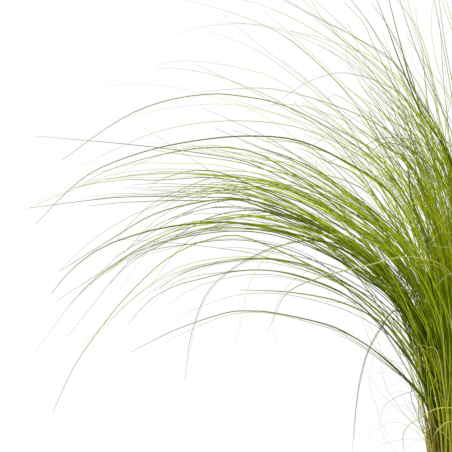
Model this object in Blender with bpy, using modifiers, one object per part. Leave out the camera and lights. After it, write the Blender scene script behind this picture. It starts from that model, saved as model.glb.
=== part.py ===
"""A potted ornamental grass: a clump of fine, arching leaves in a plain clay pot.

Metres, +Z up. The pot stands on z = 0 with its axis on Z. The shoots spring from the crown in
the middle of the soil and fountain outwards on all sides: the inner ones stand up, and the
outer ones arch over. Each shoot is one tuft, a sheath with the locks of leaves that part from
its top. The tufts' paths nest inside one another, so no two of them touch.
"""

import math
import random

import bmesh
import bpy

# --- Pot and soil --------------------------------------------------------------------------
GAP = 0.0003  # air between pieces that touch

POT_HEIGHT = 0.165
POT_RIM_RADIUS = 0.098
POT_RIM_BAND = 0.030
POT_RIM_THICKNESS = 0.010
POT_NECK_RADIUS = 0.0895  # outside, just under the rim band
POT_BASE_RADIUS = 0.066
POT_WALL = 0.008
POT_FLOOR = 0.010
POT_EDGE = 0.002  # chamfer of the lip and the foot
POT_SIDES = 36

DRAIN_HOLES = 3
DRAIN_RADIUS = 0.006
DRAIN_CIRCLE = 0.034
DRAIN_SIDES = 12
DRAIN_CUT = 0.030  # length of the cutter, which passes the floor on both sides

SOIL_BELOW_RIM = 0.017  # at the pot's wall
SOIL_MOUND = 0.002  # how much higher the soil is at the crown
CROWN_RADIUS = 0.042
CROWN_SUNK = 0.022  # how far the crown reaches into the soil
CROWN_PROUD = 0.006  # how far it stands out of it
CROWN_FLAT = 0.0375  # radius of the top that the shoots stand on
CROWN_SIDES = 24

# --- Clump: each pair or triple runs from the middle of the clump to its outside --------------
TUFTS = 48
GOLDEN_ANGLE = math.pi * (3 - math.sqrt(5))
FOOT_CIRCLE = 0.0315  # the outermost shoots' feet
LEAN = (math.radians(0), math.radians(0.5))  # of a shoot's foot, from upright
TIP_ANGLE = (math.radians(1), math.radians(154))  # of a leaf's tip, from upright
TIP_SPREAD = 0.43  # under 1, more shoots arch over than stand up
LEAF_LENGTH = (0.53, 0.62, 0.51)  # control values of a quadratic
SPRING = (1.8, 1.18)  # 1 is an even bend, and more keeps the lower part straight
FAN = (math.radians(40), math.radians(7))  # between neighbouring leaves of a shoot
TURN_JITTER = math.radians(1.5)
LENGTH_JITTER = 0.02
JITTER_SEED = 7

SHEATH_LENGTH = 0.045
SHEATH_RADIUS = 0.0028
SHEATH_UPRIGHT = 0.004  # straight stretch at the foot, so that it stands flat on the crown
SHEATH_TOP = 0.9  # the top's radius over the foot's
LEAF_ROOT = 0.012  # how far a leaf reaches down into its sheath
LEAF_OFFSET = 0.0012  # of a leaf from the middle of its sheath
LEAF_HALF_WIDTH = 0.0021
LEAF_KEEL = 0.0017  # depth of the fold under a leaf

# Side in the fan, size of the bend, share of the length that the leaf reaches, and segments.
LEAVES = (
    (-1, 0.97, 0.93, 6),
    (0, 1.00, 1.00, 7),
    (1, 1.00, 0.88, 5),
)
# Share of a leaf's length, and its width there over the widest.
LEAF_TAPER = ((0.0, 0.45), (0.10, 0.5), (0.30, 1.0), (0.60, 0.85), (1.0, 0.16))

PATH_STEPS = 64  # into which a leaf's bend is summed up
WELD = 0.000001

# --- Heights that follow from these ---------------------------------------------------------
SOIL_EDGE_Z = POT_HEIGHT - SOIL_BELOW_RIM
SOIL_TOP_Z = SOIL_EDGE_Z + SOIL_MOUND
CROWN_BOTTOM_Z = SOIL_TOP_Z - CROWN_SUNK
CROWN_TOP_Z = SOIL_TOP_Z + CROWN_PROUD


def principled(name, colour, roughness):
    material = bpy.data.materials.new(name)
    material.use_nodes = True
    shader = material.node_tree.nodes["Principled BSDF"]
    shader.inputs["Base Color"].default_value = (*colour, 1.0)
    shader.inputs["Roughness"].default_value = roughness
    shader.inputs["Metallic"].default_value = 0.0
    material.diffuse_color = (*colour, 1.0)
    return material


def collection(name):
    made = bpy.data.collections.new(name)
    bpy.context.scene.collection.children.link(made)
    return made


def object_from(name, data, parts):
    obj = bpy.data.objects.new(name, data)
    parts.objects.link(obj)
    return obj


# --- Turned pieces --------------------------------------------------------------------------
def turned(name, profile, sides, parts):
    """A profile of (radius, height) points at +X, turned once about Z."""
    mesh = bpy.data.meshes.new(name)
    points = [(radius, 0, z) for radius, z in profile]
    edges = [(i, i + 1) for i in range(len(profile) - 1)]
    mesh.from_pydata(points, edges, [])
    obj = object_from(name, mesh, parts)
    screw = obj.modifiers.new("Turn", "SCREW")
    screw.axis = "Z"
    screw.angle = math.tau
    screw.steps = sides
    screw.render_steps = sides
    screw.use_merge_vertices = True
    screw.merge_threshold = WELD
    screw.use_smooth_shade = False
    return obj


def pot_inside(z):
    """Radius of the pot's inner wall at a height."""
    low = POT_BASE_RADIUS - POT_WALL
    high = POT_RIM_RADIUS - POT_RIM_THICKNESS
    return low + (high - low) * (z - POT_FLOOR) / (POT_HEIGHT - POT_EDGE - POT_FLOOR)


def make_pot(parts, cutters, clay):
    lip_z = POT_HEIGHT - POT_EDGE
    inside = pot_inside(lip_z)
    band_z = POT_HEIGHT - POT_RIM_BAND
    profile = [
        (0, POT_FLOOR),
        (pot_inside(POT_FLOOR), POT_FLOOR),
        (inside, lip_z),
        (inside + POT_EDGE, POT_HEIGHT),
        (POT_RIM_RADIUS - POT_EDGE, POT_HEIGHT),
        (POT_RIM_RADIUS, lip_z),
        (POT_RIM_RADIUS - POT_EDGE / 2, band_z),
        (POT_NECK_RADIUS, band_z - POT_EDGE),
        (POT_BASE_RADIUS, POT_EDGE),
        (POT_BASE_RADIUS - POT_EDGE, 0),
        (0, 0),
    ]
    pot = turned("pot", profile, POT_SIDES, parts)
    pot.data.materials.append(clay)

    for i in range(DRAIN_HOLES):
        turn = math.tau * i / DRAIN_HOLES
        mesh = bpy.data.meshes.new(f"drain_cutter_{i + 1}")
        shape = bmesh.new()
        bmesh.ops.create_cone(
            shape,
            cap_ends=True,
            segments=DRAIN_SIDES,
            radius1=DRAIN_RADIUS,
            radius2=DRAIN_RADIUS,
            depth=DRAIN_CUT,
        )
        shape.to_mesh(mesh)
        shape.free()
        cutter = object_from(mesh.name, mesh, cutters)
        cutter.location = (DRAIN_CIRCLE * math.cos(turn), DRAIN_CIRCLE * math.sin(turn), POT_FLOOR / 2)
        cutter.hide_render = True
        cutter.display_type = "WIRE"
        drill = pot.modifiers.new(f"Drain {i + 1}", "BOOLEAN")
        drill.operation = "DIFFERENCE"
        drill.object = cutter
    return pot


def make_soil(parts, earth):
    floor = POT_FLOOR + GAP
    profile = [
        (0, CROWN_BOTTOM_Z),
        (CROWN_RADIUS, CROWN_BOTTOM_Z),
        (CROWN_RADIUS, SOIL_TOP_Z),
        (pot_inside(SOIL_EDGE_Z) - GAP, SOIL_EDGE_Z),
        (pot_inside(floor) - GAP, floor),
        (0, floor),
    ]
    soil = turned("soil", profile, POT_SIDES, parts)
    soil.data.materials.append(earth)
    return soil


def make_crown(parts, husk):
    side = CROWN_RADIUS - 2 * GAP
    profile = [
        (0, CROWN_TOP_Z),
        (CROWN_FLAT, CROWN_TOP_Z),
        ((CROWN_FLAT + side) / 2, CROWN_TOP_Z - CROWN_PROUD / 4),
        (side, SOIL_TOP_Z),
        (side, CROWN_BOTTOM_Z + GAP),
        (0, CROWN_BOTTOM_Z + GAP),
    ]
    crown = turned("crown", profile, CROWN_SIDES, parts)
    crown.data.materials.append(husk)
    return crown


# --- Tufts ----------------------------------------------------------------------------------
def blend(ends, share):
    return ends[0] + (ends[1] - ends[0]) * share


def taper(share):
    """Width of a leaf at a share of its length, over its widest."""
    for (start, low), (end, high) in zip(LEAF_TAPER, LEAF_TAPER[1:]):
        if share <= end:
            return low + (high - low) * (share - start) / (end - start)
    return LEAF_TAPER[-1][1]


def arching_path(outwards, scale):
    """The path of a leaf that grows at this share of the way out of the clump.

    It gives a function from the distance along the leaf to (run, rise), in the leaf's own
    upright plane.
    """
    start, middle, end = LEAF_LENGTH
    length = (1 - outwards) ** 2 * start + 2 * outwards * (1 - outwards) * middle + outwards**2 * end
    length *= scale
    lean = blend(LEAN, outwards)
    tip = blend(TIP_ANGLE, outwards**TIP_SPREAD)
    spring = blend(SPRING, math.sqrt(outwards))

    def angle(along):
        return lean + (tip - lean) * (along / length) ** spring

    def place(along):
        step = along / PATH_STEPS
        middles = [step * (i + 0.5) for i in range(PATH_STEPS)]
        run = sum(math.sin(angle(s)) for s in middles) * step
        rise = sum(math.cos(angle(s)) for s in middles) * step
        return run, rise

    return length, place


def curve_object(name, points, radii, parts):
    """An open tube or blade through the points, with filled caps. Its section is set by the caller."""
    data = bpy.data.curves.new(name, "CURVE")
    data.dimensions = "3D"
    data.twist_mode = "MINIMUM"
    data.use_fill_caps = True
    spline = data.splines.new("POLY")
    spline.points.add(len(points) - 1)
    for point, place, radius in zip(spline.points, points, radii):
        point.co = (*place, 1)
        point.radius = radius
    return object_from(name, data, parts)


def as_mesh(obj, parts):
    """The object as a closed mesh object, in place of the curve."""
    graph = bpy.context.evaluated_depsgraph_get()
    mesh = bpy.data.meshes.new_from_object(obj.evaluated_get(graph))
    shape = bmesh.new()
    shape.from_mesh(mesh)
    bmesh.ops.remove_doubles(shape, verts=shape.verts, dist=WELD)
    bmesh.ops.recalc_face_normals(shape, faces=shape.faces)
    shape.to_mesh(mesh)
    shape.free()
    made = object_from(obj.name, mesh, parts)
    made.matrix_world = obj.matrix_world
    bpy.data.objects.remove(obj)
    return made


def leaf_section(guides):
    """A leaf's cross-section: flat above, folded to a keel below."""
    data = bpy.data.curves.new("leaf_section", "CURVE")
    data.dimensions = "2D"
    spline = data.splines.new("POLY")
    corners = ((LEAF_HALF_WIDTH, 0), (-LEAF_HALF_WIDTH, 0), (0, -LEAF_KEEL))
    spline.points.add(len(corners) - 1)
    for point, (x, y) in zip(spline.points, corners):
        point.co = (x, y, 0, 1)
    spline.use_cyclic_u = True
    section = object_from("leaf_section", data, guides)
    section.hide_render = True
    section.display_type = "WIRE"
    return section


def make_sheath(name, place, parts):
    """The tube at a shoot's foot. It starts upright, to stand flat on the crown."""
    run, rise = place(SHEATH_LENGTH)
    points = [(0, 0, 0), (0, 0, SHEATH_UPRIGHT), (run, 0, rise)]
    radii = [1, 1, SHEATH_TOP]
    tube = curve_object(name, points, radii, parts)
    tube.data.bevel_depth = SHEATH_RADIUS
    tube.data.bevel_resolution = 1
    return as_mesh(tube, parts)


def make_leaf(name, outwards, leaf, section, parts):
    """One lock of leaves, from inside the sheath to its tip."""
    side, scale, reach, segments = leaf
    length, place = arching_path(outwards, scale)
    root = SHEATH_LENGTH - LEAF_ROOT
    end = length * reach
    turn = side * blend(FAN, math.sqrt(outwards))
    spot = side * math.tau / 3
    points, radii = [], []
    for i in range(segments + 1):
        along = root + (end - root) * i / segments
        run, rise = place(along)
        x = LEAF_OFFSET * math.cos(spot) + run * math.cos(turn)
        y = LEAF_OFFSET * math.sin(spot) + run * math.sin(turn)
        points.append((x, y, rise))
        radii.append(taper(along / end))
    blade = curve_object(name, points, radii, parts)
    blade.data.bevel_mode = "OBJECT"
    blade.data.bevel_object = section
    return as_mesh(blade, parts)


def make_tuft(number, section, jitter, parts, leaves):
    """A shoot at its place in the clump: feet on a golden-angle spiral, outwards in order."""
    outwards = (number - 0.5) / TUFTS
    name = f"tuft_{number:02d}"
    _, place = arching_path(outwards, 1.0)
    sheath = make_sheath(f"{name}_sheath", place, leaves)
    size = 1 + jitter.uniform(-LENGTH_JITTER, LENGTH_JITTER)
    for i, (side, scale, reach, segments) in enumerate(LEAVES):
        make_leaf(f"{name}_leaf_{i + 1}", outwards, (side, scale, reach * size, segments), section, leaves)

    joined = sheath.modifiers.new("Leaves", "BOOLEAN")
    joined.operation = "UNION"
    joined.operand_type = "COLLECTION"
    leaves.objects.unlink(sheath)
    parts.objects.link(sheath)
    joined.collection = leaves
    joined.solver = "EXACT"
    graph = bpy.context.evaluated_depsgraph_get()
    mesh = bpy.data.meshes.new_from_object(sheath.evaluated_get(graph))
    mesh.name = name
    for obj in [sheath, *leaves.objects]:
        bpy.data.objects.remove(obj)

    tuft = object_from(name, mesh, parts)
    azimuth = number * GOLDEN_ANGLE + jitter.uniform(-TURN_JITTER, TURN_JITTER)
    radius = FOOT_CIRCLE * math.sqrt(outwards)
    tuft.location = (radius * math.cos(azimuth), radius * math.sin(azimuth), CROWN_TOP_Z + GAP)
    tuft.rotation_euler.z = azimuth
    return tuft


def main():
    for obj in list(bpy.data.objects):
        bpy.data.objects.remove(obj)

    parts = collection("potted_grass")
    cutters = collection("cutters")
    leaves = collection("leaves_to_join")
    clay = principled("terracotta", (0.56, 0.24, 0.13), 0.85)
    earth = principled("potting_soil", (0.055, 0.038, 0.026), 0.95)
    husk = principled("crown_husk", (0.36, 0.29, 0.13), 0.8)
    leaf = principled("grass_leaf", (0.20, 0.28, 0.03), 0.5)

    make_pot(parts, cutters, clay)
    make_soil(parts, earth)
    make_crown(parts, husk)
    section = leaf_section(cutters)
    jitter = random.Random(JITTER_SEED)
    for number in range(1, TUFTS + 1):
        tuft = make_tuft(number, section, jitter, parts, leaves)
        tuft.data.materials.clear()
        tuft.data.materials.append(leaf)
    bpy.data.collections.remove(leaves)


main()
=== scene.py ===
# %% [markdown]
# # A potted ornamental grass
#
# The real plant is a tight clump of hair-fine leaves. It springs from one crown in a clay pot and
# fountains outwards on all sides: the middle stands up, and the outside arches over until its
# tips hang. Solids from a CAD model give each shoot's place and reach. This script dresses them:
# it grows the single leaves, turns the pot again with round edges, and gives every surface a
# material made of nodes.

# %% Load the frame
import random
from math import cos, pi, radians, sin, sqrt, tau

import bmesh
import bpy
from mathutils import Matrix, Vector


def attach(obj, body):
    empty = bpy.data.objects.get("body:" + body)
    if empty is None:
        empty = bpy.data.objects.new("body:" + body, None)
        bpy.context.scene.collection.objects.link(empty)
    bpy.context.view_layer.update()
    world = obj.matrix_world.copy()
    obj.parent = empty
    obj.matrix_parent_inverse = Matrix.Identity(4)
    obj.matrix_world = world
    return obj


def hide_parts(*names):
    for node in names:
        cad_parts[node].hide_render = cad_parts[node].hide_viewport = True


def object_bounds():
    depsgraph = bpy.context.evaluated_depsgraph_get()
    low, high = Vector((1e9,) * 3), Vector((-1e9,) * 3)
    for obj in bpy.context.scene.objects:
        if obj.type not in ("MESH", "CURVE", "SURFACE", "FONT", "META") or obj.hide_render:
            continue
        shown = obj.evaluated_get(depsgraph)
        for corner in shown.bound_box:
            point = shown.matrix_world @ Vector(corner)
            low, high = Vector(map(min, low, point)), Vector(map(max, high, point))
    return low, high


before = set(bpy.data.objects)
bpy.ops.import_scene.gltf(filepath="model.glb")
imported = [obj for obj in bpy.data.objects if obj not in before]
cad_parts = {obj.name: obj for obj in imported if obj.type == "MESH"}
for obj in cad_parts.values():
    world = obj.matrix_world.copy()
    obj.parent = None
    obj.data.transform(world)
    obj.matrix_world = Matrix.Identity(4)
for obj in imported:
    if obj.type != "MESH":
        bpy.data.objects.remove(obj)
cad_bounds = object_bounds()


def add_object(name, data):
    """A new object of the scene, which shows this data."""
    made = bpy.data.objects.new(name, data)
    bpy.context.scene.collection.objects.link(made)
    return made


height_mm = 1000 * (cad_bounds[1].z - cad_bounds[0].z)
print(f"frame of {len(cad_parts)} solids, {height_mm:.0f} mm high")

# %% [markdown]
# ## The camera
#
# The photograph looks level at the left half of the clump, and cuts off the pot below and the
# other half on the right. A long lens from three metres keeps the far leaves as large as the near
# ones, as they are in the photograph. The camera is made first, so that every later step can be
# looked at through it.

# %% Camera
IMAGE_SIDE = 452  # pixels, both ways
AXIS_PIXEL = 466  # across, where the pot's axis would be
SOIL_PIXEL = 480  # down, where the soil would be
SOIL_Z = 0.150
PIXEL = 0.0009  # metres at the pot's axis
CAMERA_DISTANCE = 3.0
SENSOR = 36.0  # mm

view_width = IMAGE_SIDE * PIXEL
aim_x = (IMAGE_SIDE / 2 - AXIS_PIXEL) * PIXEL
aim_z = SOIL_Z + (SOIL_PIXEL - IMAGE_SIDE / 2) * PIXEL
aim = Vector((aim_x, 0, aim_z))

camera_data = bpy.data.cameras.new("camera")
camera_data.sensor_width = SENSOR
camera_data.lens = SENSOR * CAMERA_DISTANCE / view_width
camera = add_object("camera", camera_data)
camera.location = aim + Vector((0, -CAMERA_DISTANCE, 0))
camera.rotation_euler = (radians(90), 0, 0)
bpy.context.scene.camera = camera
print(f"lens of {camera_data.lens:.0f} mm, aimed at {tuple(round(v, 3) for v in aim)}")

# %% [markdown]
# ## Nodes from sums
#
# Both the leaves and the materials are made of nodes. Two small classes make them readable here.
# `Kit` adds one node with its settings and its inputs. `Wire` is what a node gives, and Python's
# own operators work on it, so `1 - mask * 0.5` adds the two Math nodes that it needs.


# %% A kit for node trees
def operator(operation, swapped=False):
    """One of Python's operators, as a Math node that does this operation."""

    def apply(self, other):
        values = (other, self) if swapped else (self, other)
        return self.maths(operation, *values)

    return apply


class Wire:
    """What one socket of a node gives."""

    def __init__(self, kit, node, socket):
        self.kit = kit
        self.node = node
        self.socket = socket

    def out(self, name):
        """Another output of the same node."""
        found = [s for s in self.node.outputs if s.name == name and s.enabled]
        return Wire(self.kit, self.node, found[0])

    def maths(self, operation, *values):
        return self.kit.node("ShaderNodeMath", {"operation": operation}, values)

    __add__ = operator("ADD")
    __radd__ = operator("ADD", swapped=True)
    __sub__ = operator("SUBTRACT")
    __rsub__ = operator("SUBTRACT", swapped=True)
    __mul__ = operator("MULTIPLY")
    __rmul__ = operator("MULTIPLY", swapped=True)
    __truediv__ = operator("DIVIDE")
    __pow__ = operator("POWER")
    __mod__ = operator("FLOORED_MODULO")
    __lt__ = operator("LESS_THAN")
    __gt__ = operator("GREATER_THAN")

    def sine(self):
        return self.maths("SINE", self)

    def cosine(self):
        return self.maths("COSINE", self)


class Kit:
    """Adds nodes to one tree."""

    def __init__(self, tree):
        self.tree = tree

    def node(self, kind, settings=None, inputs=(), **named):
        """A node of this kind: its settings first, then its inputs in order or by name."""
        node = self.tree.nodes.new(kind)
        for setting, value in (settings or {}).items():
            if setting == "stops":
                self.set_stops(node.color_ramp, value)
            else:
                setattr(node, setting, value)
        for socket, value in zip(node.inputs, inputs):
            self.feed(socket, value)
        for name, value in named.items():
            wanted = name.replace("_", " ")
            found = [s for s in node.inputs if s.name == wanted and s.enabled]
            self.feed(found[0], value)
        given = [s for s in node.outputs if s.enabled]
        return Wire(self, node, given[0] if given else None)

    def feed(self, socket, value):
        if isinstance(value, Wire):
            self.tree.links.new(value.socket, socket)
        else:
            socket.default_value = value

    def set_stops(self, ramp, stops):
        while len(ramp.elements) < len(stops):
            ramp.elements.new(1)
        for element, (place, colour) in zip(ramp.elements, stops):
            element.position = place
            element.color = (*colour, 1)

    def between(self, value, low, high, to_low=0.0, to_high=1.0):
        """Value carried smoothly from one range to another, and held at its ends."""
        return self.node(
            "ShaderNodeMapRange",
            {"interpolation_type": "SMOOTHSTEP"},
            (value, low, high, to_low, to_high),
        )

    def noise(self, place, scale, detail, roughness=0.5):
        inputs = {"Vector": place, "Scale": scale, "Detail": detail, "Roughness": roughness}
        return self.node("ShaderNodeTexNoise", **inputs).out("Fac")

    def vector(self, operation, *values):
        return self.node("ShaderNodeVectorMath", {"operation": operation}, values)

    def combine(self, x, y, z):
        return self.node("ShaderNodeCombineXYZ", inputs=(x, y, z))

    def z_of(self, vector):
        return self.node("ShaderNodeSeparateXYZ", inputs=(vector,)).out("Z")

    def mix(self, factor, low, high):
        """A colour on the way from one to another."""
        inputs = {"Factor": factor, "A": low, "B": high}
        return self.node("ShaderNodeMix", {"data_type": "RGBA"}, **inputs).out("Result")

    def attribute(self, name):
        """A number that each point of a mesh or curve carries."""
        return self.node("GeometryNodeInputNamedAttribute", {"data_type": "FLOAT"}, Name=name)


# %% [markdown]
# ## One shoot's leaves
#
# Every leaf follows one rule. Its angle from upright grows along it, from a small lean at the foot
# to the angle of its tip. Summing up small steps in that direction gives its path, and *Accumulate
# Field* does the sum. One straight line is copied once for each leaf, and each copy draws its own
# small differences from its number, so the same seed always gives the same shoot.
#
# A particle system could grow such leaves too. Nodes are used because the rule can then be the
# very one that bends the solids, so the leaves stay where the solids are, and because they end as
# a plain mesh with real width.
#
# A leaf of this grass is rolled in on itself, and as fine as a hair at its tip. So a section of
# four corners is enough, and it turns slowly along the leaf, as real ones do, which makes them
# glint in places. Real leaves are up to 1 mm wide. Fewer grow here, so most are 0.7 to 1.5 mm
# wide, and they cover as much together.

# %% What leaves share
LEAF_POINTS = 30
LOCKS = 3  # in a shoot, as many as its solid has
WAVES = 3.0  # in the wobble along a leaf
NOISE_STRIDE = 7.3  # from one leaf's wobble to the next one's, so that no two wobble alike
SECTION_CORNERS = 4
SECTION_THICKNESS = 0.7  # over its width
TILT = (0.8, 2.0)  # radians that a leaf's section is turned at the foot, and turns along it
TIP_WIDTH = 0.2  # over the leaf's own width
TAPER = 3.0  # the higher, the later a leaf narrows
SHEATH = (0.05, 0.35, 1.6, 0.95)  # from here to there along it, a leaf narrows from 1.6 to 0.95
WIDTHS = (0.55, 1.1, 3)  # the least width, what chance adds, and how seldom it adds much
BAKE_MAP = "OFBake"  # the map that a bake reads: each leaf gets a strip of its own
STRIP_MARGIN = 0.1  # of a strip, on either side


def new_tree(name, inputs):
    """An empty tree with these inputs. It gives its kit and the inputs' node."""
    tree = bpy.data.node_groups.new(name, "GeometryNodeTree")
    for label, kind in inputs:
        tree.interface.new_socket(label, in_out="INPUT", socket_type=f"NodeSocket{kind}")
    tree.interface.new_socket("Geometry", in_out="OUTPUT", socket_type="NodeSocketGeometry")
    kit = Kit(tree)
    return kit, kit.node("NodeGroupInput")


def end_tree(kit, given, geometry):
    """Makes real what is only copied, gives it the material and hands it out."""
    real = kit.node("GeometryNodeRealizeInstances", Geometry=geometry)
    inputs = {"Geometry": real, "Material": given.out("Material")}
    kit.node("NodeGroupOutput", inputs=(kit.node("GeometryNodeSetMaterial", **inputs),))
    return kit.tree


def dice(kit, seed, item):
    """A way to draw chance numbers for each item. Each use has its own number, so no two agree."""

    def draw(number, low=-1.0, high=1.0, one_of=item):
        inputs = {"Min": low, "Max": high, "ID": one_of, "Seed": seed + number}
        return kit.node("FunctionNodeRandomValue", {"data_type": "FLOAT"}, **inputs)

    return draw


def store(kit, geometry, name, value, data_type="FLOAT", domain="POINT"):
    settings = {"data_type": data_type, "domain": domain}
    inputs = {"Geometry": geometry, "Name": name, "Value": value}
    return kit.node("GeometryNodeStoreNamedAttribute", settings, **inputs)


def flesh_out(kit, given, curves, along, leaf, draw, leaves):
    """Gives bare curves a leaf's section, width, map and material."""
    tint = draw(31, given.out("Darkest"), given.out("Brightest"))
    for name, value in (("along", along), ("leaf", leaf), ("tint", tint)):
        curves = store(kit, curves, name, value)
    curves = kit.node(
        "GeometryNodeSetCurveTilt",
        Curve=curves,
        Tilt=draw(32) * TILT[0] + draw(33) * TILT[1] * along,
    )
    section = kit.node("GeometryNodeCurvePrimitiveCircle", Resolution=SECTION_CORNERS, Radius=1.0)
    section = kit.node("GeometryNodeTransform", Geometry=section, Scale=(1, SECTION_THICKNESS, 1))
    section = store(kit, section, "round", kit.node("GeometryNodeSplineParameter"))
    least, more, seldom = WIDTHS
    taper = TIP_WIDTH + (1 - TIP_WIDTH) * (1 - along**TAPER)
    sheath = kit.between(along, *SHEATH)
    half_width = given.out("Half Width") * (least + more * draw(34, 0) ** seldom) * taper * sheath
    mesh = kit.node(
        "GeometryNodeCurveToMesh",
        Curve=curves,
        Profile_Curve=section,
        Scale=half_width,
        Fill_Caps=True,
    )
    within = STRIP_MARGIN + (1 - 2 * STRIP_MARGIN) * kit.attribute("round")
    strip = (kit.attribute("leaf") + within) / leaves
    place = kit.combine(strip, kit.attribute("along"), 0)
    mesh = store(kit, mesh, BAKE_MAP, place, "FLOAT2", "CORNER")
    return end_tree(kit, given, kit.node("GeometryNodeSetShadeSmooth", Geometry=mesh))


# %% The tree that grows a shoot
SHOOT_INPUTS = (
    ("Foot", "Vector"),
    ("Foot Radius", "Float"),
    ("Outward", "Float"),  # 1 turns each leaf away from the foot's middle, 0 leaves it be
    ("Azimuth", "Float"),
    ("Spread", "Float"),
    ("Fan", "Float"),
    ("Lean", "Float"),
    ("Lean Range", "Float"),
    ("Tip", "Float"),
    ("Tip Range", "Float"),
    ("Spring", "Float"),
    ("Swerve", "Float"),
    ("Wander", "Float"),
    ("Length", "Float"),
    ("Short Share", "Float"),
    ("Shortest", "Float"),
    ("Half Width", "Float"),
    ("Darkest", "Float"),
    ("Brightest", "Float"),
    ("Leaves", "Int"),
    ("Seed", "Int"),
    ("Material", "Material"),
)
SHORT_AT_MOST = 0.88  # of the full length
FULL_AT_LEAST = 0.92
LOCK_PART = 0.5  # of a difference that a lock's leaves share
FEW_STRAY = 1.5  # the higher, the fewer leaves stray from their lock
SPRING_CHANCES = (0.12, 0.15)  # a lock's and a leaf's own
WOBBLE_FROM = 0.15  # of a leaf's length, before which it hardly wobbles
SECOND_WOBBLE = 50.0  # far enough along the noise to look different
SIDE_WOBBLE = 2  # sideways, over what it is up and down


def shoot_tree():
    kit, given = new_tree("leaves of a shoot", SHOOT_INPUTS)
    line = kit.node("GeometryNodeCurvePrimitiveLine", {"mode": "POINTS"}, End=(0, 0, 1))
    line = kit.node("GeometryNodeResampleCurve", {"mode": "COUNT"}, Curve=line, Count=LEAF_POINTS)
    lines = kit.node(
        "GeometryNodeDuplicateElements",
        {"domain": "SPLINE"},
        Geometry=line,
        Amount=given.out("Leaves"),
    )
    leaf = lines.out("Duplicate Index")
    along = kit.node("GeometryNodeSplineParameter")
    draw = dice(kit, given.out("Seed"), leaf)

    def stray(number):
        """Mostly near 0, but now and then near -1 or 1: leaves keep together, and a few don't."""
        return draw(number) * draw(number + 1, 0) ** FEW_STRAY

    # How far along the full path this leaf reaches, and how it is bent there.
    lock = leaf % LOCKS
    is_short = (draw(1, 0) < given.out("Short Share")) * (leaf > 0.5)
    shorter = draw(2, given.out("Shortest"), SHORT_AT_MOST)
    reach = is_short * shorter + (1 - is_short) * draw(3, FULL_AT_LEAST, 1.0)
    done = (along + 0.5 / LEAF_POINTS) * reach
    lean = given.out("Lean") + (draw(4, one_of=lock) + stray(5)) * given.out("Lean Range")
    tip = given.out("Tip") * (1 + (draw(7, one_of=lock) + stray(8)) * given.out("Tip Range"))
    of_lock, of_leaf = SPRING_CHANCES
    chance = 1 + of_lock * draw(10, one_of=lock) + of_leaf * stray(11)
    spring = given.out("Spring") * chance
    bend = lean + (tip - lean) * done**spring

    def wave(start):
        """A slow wobble along the leaf, nothing at its foot. No real leaf is a perfect curve."""
        where = done * WAVES + leaf * NOISE_STRIDE + given.out("Seed") + start
        inputs = {"W": where, "Scale": 1.0, "Detail": 2.0}
        noise = kit.node("ShaderNodeTexNoise", {"noise_dimensions": "1D"}, **inputs)
        return (noise - 0.5) * given.out("Wander") * kit.between(done, 0.0, WOBBLE_FROM)

    bend = bend + wave(0.0)

    # Where it stands, and which way it arches: its lock's place in the fan, its own, and a swerve.
    about = draw(20, 0, tau)
    turn = given.out("Azimuth") + about * given.out("Outward") + (lock - 1) * given.out("Fan")
    turn = turn + (LOCK_PART * draw(13, one_of=lock) + stray(14)) * given.out("Spread")
    turn = turn + (LOCK_PART * draw(16, one_of=lock) + stray(17)) * given.out("Swerve") * done
    turn = turn + SIDE_WOBBLE * wave(SECOND_WOBBLE)
    from_foot = draw(19, 0) ** 0.5 * given.out("Foot Radius")
    root = kit.combine(from_foot * about.cosine(), from_foot * about.sine(), 0)
    root = kit.vector("ADD", root, given.out("Foot"))

    step = given.out("Length") * reach / (LEAF_POINTS - 1)
    forward = kit.combine(
        bend.sine() * turn.cosine() * step,
        bend.sine() * turn.sine() * step,
        bend.cosine() * step,
    )
    path = kit.node(
        "GeometryNodeAccumulateField",
        {"data_type": "FLOAT_VECTOR", "domain": "POINT"},
        Value=forward,
        Group_ID=leaf,
    ).out("Trailing")
    path = kit.vector("ADD", path, root)
    lines = store(kit, lines, "leaf", leaf)
    curves = kit.node("GeometryNodeSetPosition", Geometry=lines, Position=path)
    return flesh_out(kit, given, curves, along, leaf, draw, given.out("Leaves"))


leaves_of_a_shoot = shoot_tree()
print(f"the tree has {len(leaves_of_a_shoot.nodes)} nodes")

# %% [markdown]
# ## Leaves along drawn lines
#
# Single leaves and whole locks give the photograph its character: the low arcs, the leaf that
# droops by itself, the fan at the top. No rule would put them there, so they are drawn through
# points read off the photograph. A curve's own bevel could make them round, but with the
# same section all over. A second tree fleshes them out as the first tree does, so both kinds of
# leaf look alike. It can also copy each line into a lock, whose leaves keep together at the foot
# and part towards their tips.

# %% The tree that fleshes out drawn lines
DRAWN_POINTS = 48
DRAWN_INPUTS = (
    ("Geometry", "Geometry"),
    ("Copies", "Int"),
    ("Loose", "Float"),  # metres that copies part at their tips
    ("Foot Radius", "Float"),
    ("Shortest", "Float"),
    ("Half Width", "Float"),
    ("Darkest", "Float"),
    ("Brightest", "Float"),
    ("Seed", "Int"),
    ("Material", "Material"),
)
PARTING = 1.4  # the higher, the later copies part
WOBBLE_FULL = 0.4  # of a leaf's length, after which it wobbles fully


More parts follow.
